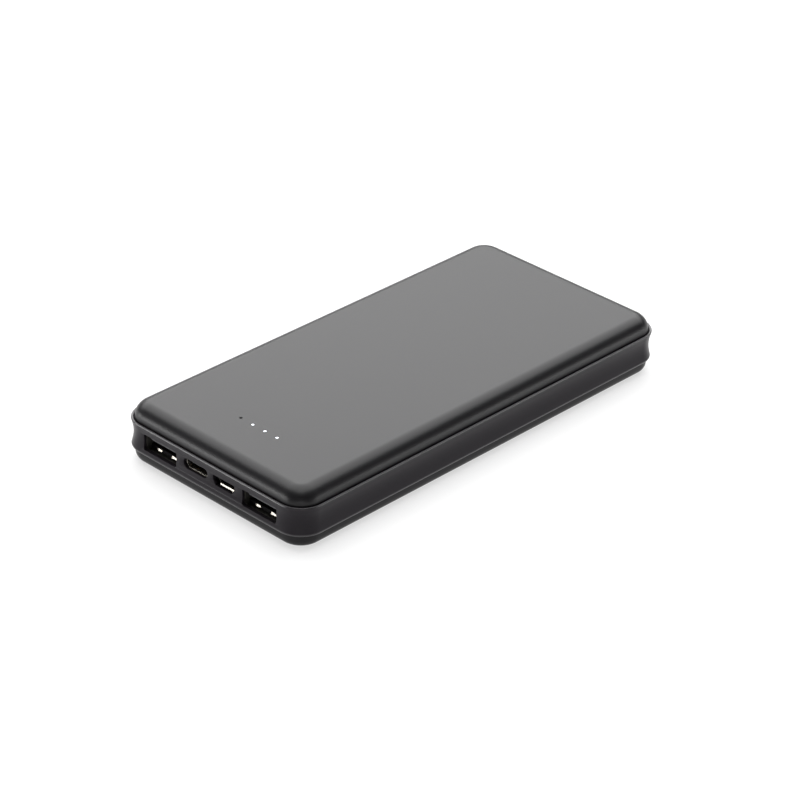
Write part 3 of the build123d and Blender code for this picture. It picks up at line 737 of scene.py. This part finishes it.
def end_cutter(outline, x, z, y_front, y_back):
    """A straight cutter through the end wall."""
    rings = [facing_front(outline, x, z, y) for y in (y_front, y_back)]
    return loft("cutter", rings, SATIN)


def pocket_outline(width, height, radius, steps=6):
    """The pocket that a socket's shell sits in, with room all round."""
    return rounded_rectangle(width + 2 * POCKET_SPARE, height + 2 * POCKET_SPARE, radius, steps)


side_shell = sweep_round("side_frame_shell", frame_section(), True, SATIN)
finish_mesh(side_shell, SATIN)
OUTSIDE_Y = FRAME_LOW.y - 1
INSIDE_Y = FRAME_LOW.y + FRAME_DEPTH + 1
USB_A_CENTRES = [(x, USB_A_Z) for x in USB_A_PLACES.values()]
USB_C_CENTRE = (USB_C_PLACE.x, USB_C_PLACE.z)
MICRO_CENTRE = (MICRO_PLACE.x, MICRO_PLACE.z)
windows = [(rounded_rectangle(*USB_A_WINDOW), centre) for centre in USB_A_CENTRES]
windows.append((rounded_rectangle(*USB_C_WINDOW, 10), USB_C_CENTRE))
windows.append((micro_outline(*MICRO_WINDOW), MICRO_CENTRE))
for outline, centre in windows:
    cut(side_shell, end_cutter(outline, *centre, OUTSIDE_Y, INSIDE_Y))
pockets = [(pocket_outline(*USB_A_OUTER, USB_A_POCKET_RADIUS), c) for c in USB_A_CENTRES]
usb_c_pocket = pocket_outline(USB_C_WINDOW[0], USB_C_OUTER[1], USB_C_POCKET_RADIUS, 10)
pockets.append((usb_c_pocket, USB_C_CENTRE))
pockets.append((pocket_outline(*MICRO_WINDOW[:2], MICRO_POCKET_RADIUS), MICRO_CENTRE))
for outline, centre in pockets:
    cut(side_shell, end_cutter(outline, *centre, POCKET_Y, INSIDE_Y))
button_window = rounded_rectangle(
    BUTTON_SIZE[0] + 2 * BUTTON_GAP,
    BUTTON_SIZE[1] + 2 * BUTTON_GAP,
    BUTTON_SIZE[1] / 2 + BUTTON_GAP - HAIR,
    12,
)
button_cutter = [
    facing_side(button_window, BUTTON_PLACE.y, BUTTON_PLACE.z, x)
    for x in (FRAME_LOW.x - 1, FRAME_LOW.x + FRAME_DEPTH + 1)
]
cut(side_shell, loft("cutter", button_cutter, SATIN))
soften(side_shell, 0.12, degrees=60)
finish_mesh(side_shell, SATIN)
stand_for(side_shell, "case", "frame", "side_frame")


# ---- Socket shells ------------------------------------------------------------------


def between(outer, inner, share):
    """An outline part of the way from one outline to another."""
    return [
        (a[0] + (b[0] - a[0]) * share, a[1] + (b[1] - a[1]) * share)
        for a, b in zip(outer, inner)
    ]


# A shell's rounded front lip: the share of the wall crossed, and the setback in mm.
SHELL_LIP = ((0, 0.14), (0.15, 0.04), (0.5, 0), (0.85, 0.04), (1, 0.14))


def drawn_shell(name, outer, inner, place, front, back, finish):
    """A drawn metal shell open at both ends, its front lip rounded."""
    x, z = place
    rings = [facing_front(outer, x, z, back)]
    for share, setback in SHELL_LIP:
        rings.append(facing_front(between(outer, inner, share), x, z, front + setback))
    rings.append(facing_front(inner, x, z, back))
    return loft(name, rings, finish, closed_loop=True, sharp_degrees=60)


FINGER_X = 2.9
FINGER_WIDTH = 1.9
FINGER_SHEET = 0.22
FINGER_LEAN = 0.1
FINGER_EDGE = 0.07
FINGER_SHRINK = 0.985
# A finger from its tip back: the distance behind the mouth, and the dip into the socket.
FINGER_LINE = (
    (1.22, 0.02),
    (1.32, 0.12),
    (1.42, 0.42),
    (1.54, 0.74),
    (1.68, 0.9),
    (1.9, 0.95),
    (2.3, 0.88),
    (3.2, 0.6),
    (4.2, 0.28),
    (5.2, 0.06),
    (6.2, 0.0),
    (7.0, 0.0),
)


def spring_finger(x, wall_z, up, front):
    """A spring finger pressed out of a shell's wall: a steep nose, then a long slope back."""
    face = [(front + y, wall_z - up * dip) for y, dip in FINGER_LINE]
    back = []
    for y, dip in FINGER_LINE:
        back.append((front + y + FINGER_LEAN, wall_z - up * (dip - FINGER_SHEET)))
    profile = face + back[::-1]
    middle_y = sum(y for y, z in profile) / len(profile)
    rings = []
    for side, cheek in ((-1, True), (-1, False), (1, False), (1, True)):
        across = x + side * (FINGER_WIDTH / 2 - (0 if cheek else FINGER_EDGE))
        shrink = FINGER_SHRINK if cheek else 1.0
        rings.append([(across, middle_y + (y - middle_y) * shrink, z) for y, z in profile])
    return loft("finger", rings, NICKEL, sharp_degrees=50)


def block(name, low, high, edge, material):
    """A box between two corners, its edges rounded."""
    size = Vector(high) - Vector(low)
    centre = (Vector(high) + Vector(low)) / 2
    outline = rounded_rectangle(size.x, size.y, edge, 3)
    small = rounded_rectangle(size.x - 2 * edge, size.y - 2 * edge, edge * 0.5, 3)
    rings = []
    for shape, z in (
        (small, low[2]),
        (outline, low[2] + edge),
        (outline, high[2] - edge),
        (small, high[2]),
    ):
        rings.append([(centre.x + px, centre.y + py, z) for px, py in shape])
    return loft(name, rings, material)


# Corner radii outside and inside.
USB_A_SHELL_RADII = (0.5, 0.25)
MICRO_SHELL_RADII = (0.4, 0.2)
WING_HALF = 1.5
WING_HEIGHTS = (7.2, 7.5)
WING_EDGE = 0.1

for side, place_x in USB_A_PLACES.items():
    low, high = box_mm(f"usb_a_shell_{side}")
    outer = rounded_rectangle(*USB_A_OUTER, USB_A_SHELL_RADII[0])
    a_inside = [size - 2 * SHELL_WALL for size in USB_A_OUTER]
    inner = rounded_rectangle(*a_inside, USB_A_SHELL_RADII[1])
    parts = [drawn_shell("shell", outer, inner, (place_x, USB_A_Z), low.y, high.y, DULL_NICKEL)]
    fingers = []
    half = USB_A_OUTER[1] / 2 - SHELL_WALL
    for finger_x in (place_x - FINGER_X, place_x + FINGER_X):
        for up in (-1, 1):
            fingers.append(spring_finger(finger_x, USB_A_Z + up * half, up, low.y))
    wing_y = (low.y + high.y) / 2 - 1
    for wing, end_x in ((-1, low.x), (1, high.x)):
        edge_x = place_x + wing * (USB_A_OUTER[0] / 2 - WING_EDGE)
        wing_low = (min(edge_x, end_x), wing_y - WING_HALF, WING_HEIGHTS[0])
        wing_high = (max(edge_x, end_x), wing_y + WING_HALF, WING_HEIGHTS[1])
        parts.append(block("wing", wing_low, wing_high, WING_EDGE, DULL_NICKEL))
    shell = joined(f"usb_a_shell_{side}_drawn", parts)
    stand_for(shell, "case", "shell_nickel", f"usb_a_shell_{side}")
    sprung = joined(f"usb_a_fingers_{side}", fingers)
    stand_for(sprung, "case", "shell_nickel", f"usb_a_shell_{side}")

low, high = box_mm("usb_c_shell")
outer = rounded_rectangle(*USB_C_OUTER, USB_C_OUTER[1] / 2 - HAIR, 10)
c_inside = [size - 2 * SHELL_WALL for size in USB_C_OUTER]
inner = rounded_rectangle(*c_inside, c_inside[1] / 2 - HAIR, 10)
shell = drawn_shell("usb_c_shell_drawn", outer, inner, USB_C_CENTRE, low.y, high.y, NICKEL)
stand_for(shell, "case", "shell_nickel", "usb_c_shell")

MICRO_TUBE_SETBACK = 0.7
# The lower lip from its root to its tip: (setback, rise) from the shell's lowest front
# edge, for its upper face; its lower face lies back and down from that.
MICRO_LIP_LINE = (
    (0.75, 0.58),
    (0.55, 0.56),
    (0.42, 0.48),
    (0.32, 0.3),
    (0.2, -0.02),
    (0.12, -0.14),
)
MICRO_LIP_BACK = (0.14, -0.16)
low, high = box_mm("micro_usb_shell")
outer = micro_outline(*MICRO_OUTER, MICRO_SHELL_RADII[0])
micro_inside = [size - 2 * SHELL_WALL for size in MICRO_OUTER]
inner = micro_outline(*micro_inside, MICRO_SHELL_RADII[1])
tube_front = low.y + MICRO_TUBE_SETBACK
shell = drawn_shell(
    "micro_usb_shell_drawn", outer, inner, MICRO_CENTRE, tube_front, high.y, DULL_NICKEL
)
stand_for(shell, "case", "shell_nickel", "micro_usb_shell")
lip_top = [(low.y + y, low.z + rise) for y, rise in MICRO_LIP_LINE]
lip_under = [(y + MICRO_LIP_BACK[0], z + MICRO_LIP_BACK[1]) for y, z in lip_top]
lip_rings = [
    [(MICRO_PLACE.x + side * MICRO_LIP_HALF, y, z) for y, z in lip_top + lip_under[::-1]]
    for side in (-1, 1)
]
lip_plate = loft("micro_usb_lip_drawn", lip_rings, NICKEL, sharp_degrees=50)
stand_for(lip_plate, "case", "shell_nickel", "micro_usb_shell")


# ---- Charge gauge -------------------------------------------------------------------


def round_post(name, rings, material):
    """An upright round post on the vertical axis, from (radius, height) rings."""
    shapes = []
    for radius, z in rings:
        ring = rounded_rectangle(2 * radius, 2 * radius, radius * NEARLY, 6)
        shapes.append([(x, y, z) for x, y in ring])
    return loft(name, shapes, material)


def row_tree():
    """Geometry Nodes: one piece repeated along X."""
    sockets = (
        ("Count", "NodeSocketInt"),
        ("First Place", "NodeSocketVector"),
        ("Step", "NodeSocketVector"),
        ("Piece", "NodeSocketObject"),
        ("Material", "NodeSocketMaterial"),
    )
    tree, inputs, given = new_group("row_along_x", sockets)
    line = add_node(
        tree,
        "GeometryNodeMeshLine",
        links={
            "Count": given["Count"],
            "Start Location": given["First Place"],
            "Offset": given["Step"],
        },
        mode="OFFSET",
    )
    shape = add_node(tree, "GeometryNodeObjectInfo", links={"Object": given["Piece"]})
    row = add_node(
        tree,
        "GeometryNodeInstanceOnPoints",
        links={"Points": line.outputs["Mesh"], "Instance": shape.outputs["Geometry"]},
    )
    finish_group(tree, row.outputs["Instances"], given["Material"])
    return tree, inputs


ROW_TREE, ROW_INPUTS = row_tree()


def row_of(name, piece, count, first, step, material):
    """A row of copies of a piece, as one plain mesh; the pattern piece is used up."""
    values = {
        "Count": count,
        "First Place": [c * MM for c in first],
        "Step": [c * MM for c in step],
        "Piece": piece,
        "Material": material,
    }
    row = run_tree(name, ROW_TREE, ROW_INPUTS, values)
    bpy.data.objects.remove(piece)
    return finish_mesh(row, material)


# (radius, height) in mm up each lens and each post below it.
LENS_RINGS = (
    (0.38, 15.9),
    (0.43, 15.96),
    (0.43, 16.84),
    (0.39, 16.9),
    (0.28, 16.94),
    (0.13, 16.96),
)
POST_RINGS = ((0.4, 8.2), (0.45, 8.25), (0.45, 15.88))
places = gauge_places()
gauge_step = (places[1][0] - places[0][0], 0, 0)
lit_row = row_of(
    "gauge_lights_lit",
    round_post("lens", LENS_RINGS, LENS_LIT),
    GAUGE_LIGHTS - 1,
    (*places[1], 0),
    gauge_step,
    LENS_LIT,
)
stand_for(lit_row, "case", "guide_clear", "light_guide")
dark_light = row_of(
    "gauge_light_unlit",
    round_post("lens", LENS_RINGS, LENS_PAINTED_SHADE),
    1,
    (*places[0], 0),
    gauge_step,
    LENS_PAINTED_SHADE,
)
stand_for(dark_light, "case", "guide_clear", "light_guide")
low, high = box_mm("light_guide")
posts = row_of(
    "posts",
    round_post("post", POST_RINGS, GUIDE),
    GAUGE_LIGHTS,
    (*places[0], 0),
    gauge_step,
    GUIDE,
)
BAR_HEIGHTS = (14.1, 15.3)
bar_low, bar_high = ((end.x, end.y, z) for end, z in zip((low, high), BAR_HEIGHTS))
bar = block("bar", bar_low, bar_high, 0.3, GUIDE)
guide_bar = joined("gauge_guide_bar", [posts, bar])
stand_for(guide_bar, "case", "guide_clear", "light_guide")


# ---- Power button -------------------------------------------------------------------

low, high = box_mm("power_button")
# Millimetres: the flange behind the wall as length, height and thickness, then the stem.
FLANGE_X = FRAME_LOW.x + 3.1
FLANGE = (12.4, 4.8, 0.7)
STEM = (3.0, 2.0, 0.2)
FACE_ROUND = 0.35
FACE_DEGREES = (8, 30, 60, 90)
button_rings = []
for degrees in FACE_DEGREES:
    angle = math.radians(degrees)
    inset = FACE_ROUND * (1 - math.sin(angle))
    depth = low.x + FACE_ROUND * (1 - math.cos(angle))
    button_rings.append((BUTTON_SIZE[0] - 2 * inset, BUTTON_SIZE[1] - 2 * inset, depth))
button_rings.append((*BUTTON_SIZE, FLANGE_X))
button_rings.append((FLANGE[0], FLANGE[1], FLANGE_X))
button_rings.append((FLANGE[0], FLANGE[1], FLANGE_X + FLANGE[2]))
capsules = [
    facing_side(
        rounded_rectangle(length, height, height / 2 - HAIR, 10),
        BUTTON_PLACE.y,
        BUTTON_PLACE.z,
        x,
    )
    for length, height, x in button_rings
]
for x in (FLANGE_X + FLANGE[2], high.x):
    stem = rounded_rectangle(*STEM, 10)
    capsules.append(facing_side(stem, BUTTON_PLACE.y, BUTTON_PLACE.z, x))
button_cap = loft("power_button_cap", capsules, SATIN)
stand_for(button_cap, "button", "button", "power_button")


# ---- CAD nodes that keep their shape ------------------------------------------------


def paint(material, *names):
    """Gives CAD nodes one material."""
    for name in names:
        mesh = NODES[name].data
        mesh.materials.clear()
        mesh.materials.append(material)


paint(NYLON, "usb_a_tongue_left", "usb_a_tongue_right", "usb_c_tongue", "micro_usb_tongue")
paint(GOLD, "usb_a_contacts_left", "usb_a_contacts_right")
paint(GOLD, "usb_c_contacts", "micro_usb_contacts")
paint(POUCH, "battery_cell")
paint(POLYIMIDE, "cell_end_tape")
paint(NICKEL_STRIP, "battery_tab_positive", "battery_tab_negative", "tact_switch_cover")
paint(FOAM, "cell_foam_pad_upper", "cell_adhesive_pad_lower", "cell_end_cushion")
paint(BOARD, "circuit_board")
paint(SCREW_STEEL, "board_screws")
paint(LED_BODY, "indicator_leds")
paint(ACETAL, "light_baffle", "tact_switch_body", "tact_switch_plunger")
paint(FERRITE, "inductor_core")
paint(TINNED, "inductor_terminals")
paint(EPOXY, "charge_controller", "power_transistors", "resistors")
paint(CERAMIC, "capacitors")


# ---- Studio -------------------------------------------------------------------------


FLOOR_REACH = 6.0
FLOOR_DROP = 0.00002
FLOOR_GLOW = 0.64


def make_floor():
    """A pale sweep that glows a little, so that it stays white in the picture."""
    mesh = bpy.data.meshes.new("studio_floor")
    signs = ((-1, -1), (1, -1), (1, 1), (-1, 1))
    corners = [(x * FLOOR_REACH, y * FLOOR_REACH, 0) for x, y in signs]
    mesh.from_pydata(corners, [], [(0, 1, 2, 3)])
    floor = new_object("studio_floor", mesh)
    floor.location.z = -FLOOR_DROP
    material, tree, shader = new_material("white_paper_sweep", "#a2a2a2", 0.9)
    shader.inputs["Specular IOR Level"].default_value = 0.0
    shader.inputs["Emission Color"].default_value = (1, 1, 1, 1)
    shader.inputs["Emission Strength"].default_value = FLOOR_GLOW
    mesh.materials.append(material)


def add_panel(name, place, size, radiance, target, turn=0):
    """A softbox: a rectangular area light of a given radiance, facing a point; one that
    faces straight down can be turned about the vertical, in degrees."""
    light = bpy.data.lights.new(name, "AREA")
    light.shape = "RECTANGLE"
    light.size, light.size_y = size
    light.energy = radiance * math.pi * size[0] * size[1]
    lamp = bpy.data.objects.new(name, light)
    lamp.location = place
    direction = Vector(target) - Vector(place)
    lamp.rotation_euler = direction.to_track_quat("-Z", "Y").to_euler()
    lamp.rotation_euler.z += math.radians(turn)
    bpy.context.scene.collection.objects.link(lamp)
    return lamp


make_floor()
# Name, place, size (all in metres), radiance and turn; both face straight down.
for name, place, size, radiance, turn in (
    ("overhead_softbox", (-1.35, 1.0, 1.2), (3.7, 3.1), 3.4, 0),
    ("far_softbox", (-1.9, 1.98, 1.19), (3.0, 1.6), 2.3, 45),
):
    add_panel(name, place, size, radiance, target=(*place[:2], 0), turn=turn)
# Low strips that draw the bright lines along the edges; they face the object.
for name, place, size, radiance in (
    ("front_left_strip", (-0.85, -1.05, 0.1), (1.2, 0.2), 11.0),
    ("back_right_strip", (1.05, 0.85, 0.08), (1.2, 0.16), 6.0),
    ("front_right_strip", (1.0, -1.05, 0.14), (0.9, 0.16), 3.0),
):
    strip = add_panel(name, place, size, radiance, target=(0, 0, place[2]))
    strip.visible_camera = False


HORIZON = 4.8
HORIZON_HEIGHT = 0.2
CEILING = 0.05


def make_world():
    """A dark room with a pale horizon, as a sweep lit from below gives."""
    world = bpy.data.worlds.new("studio")
    bpy.context.scene.world = world
    world.use_nodes = True
    tree = world.node_tree
    ray = add_node(tree, "ShaderNodeTexCoord")
    height = add_node(tree, "ShaderNodeSeparateXYZ", links={"Vector": ray.outputs["Generated"]})
    fade = add_node(
        tree,
        "ShaderNodeMapRange",
        {"From Min": 0.0, "From Max": HORIZON_HEIGHT, "To Min": HORIZON, "To Max": CEILING},
        {"Value": height.outputs["Z"]},
        interpolation_type="SMOOTHSTEP",
    )
    tree.links.new(fade.outputs["Result"], tree.nodes["Background"].inputs["Strength"])


make_world()


LENS_MM = 131.88
CAMERA_PLACE = (0.47817, -0.50497, 0.40914)


def make_camera():
    """The camera at the viewing angle of a product shot: three-quarter view from above."""
    camera = bpy.data.cameras.new("camera")
    camera.sensor_width = 36.0
    camera.lens = LENS_MM
    camera.clip_start = 0.05
    eye = bpy.data.objects.new("camera", camera)
    right = Vector((0.71656, 0.69710, 0.02424))
    up = Vector((-0.36658, 0.34680, 0.86333))
    back = Vector((0.59343, -0.62752, 0.50405))
    turn = Matrix((right, up, back)).transposed().to_4x4()
    eye.matrix_world = Matrix.Translation(CAMERA_PLACE) @ turn
    bpy.context.scene.collection.objects.link(eye)
    bpy.context.scene.camera = eye


make_camera()
bpy.context.scene.view_settings.view_transform = "Standard"
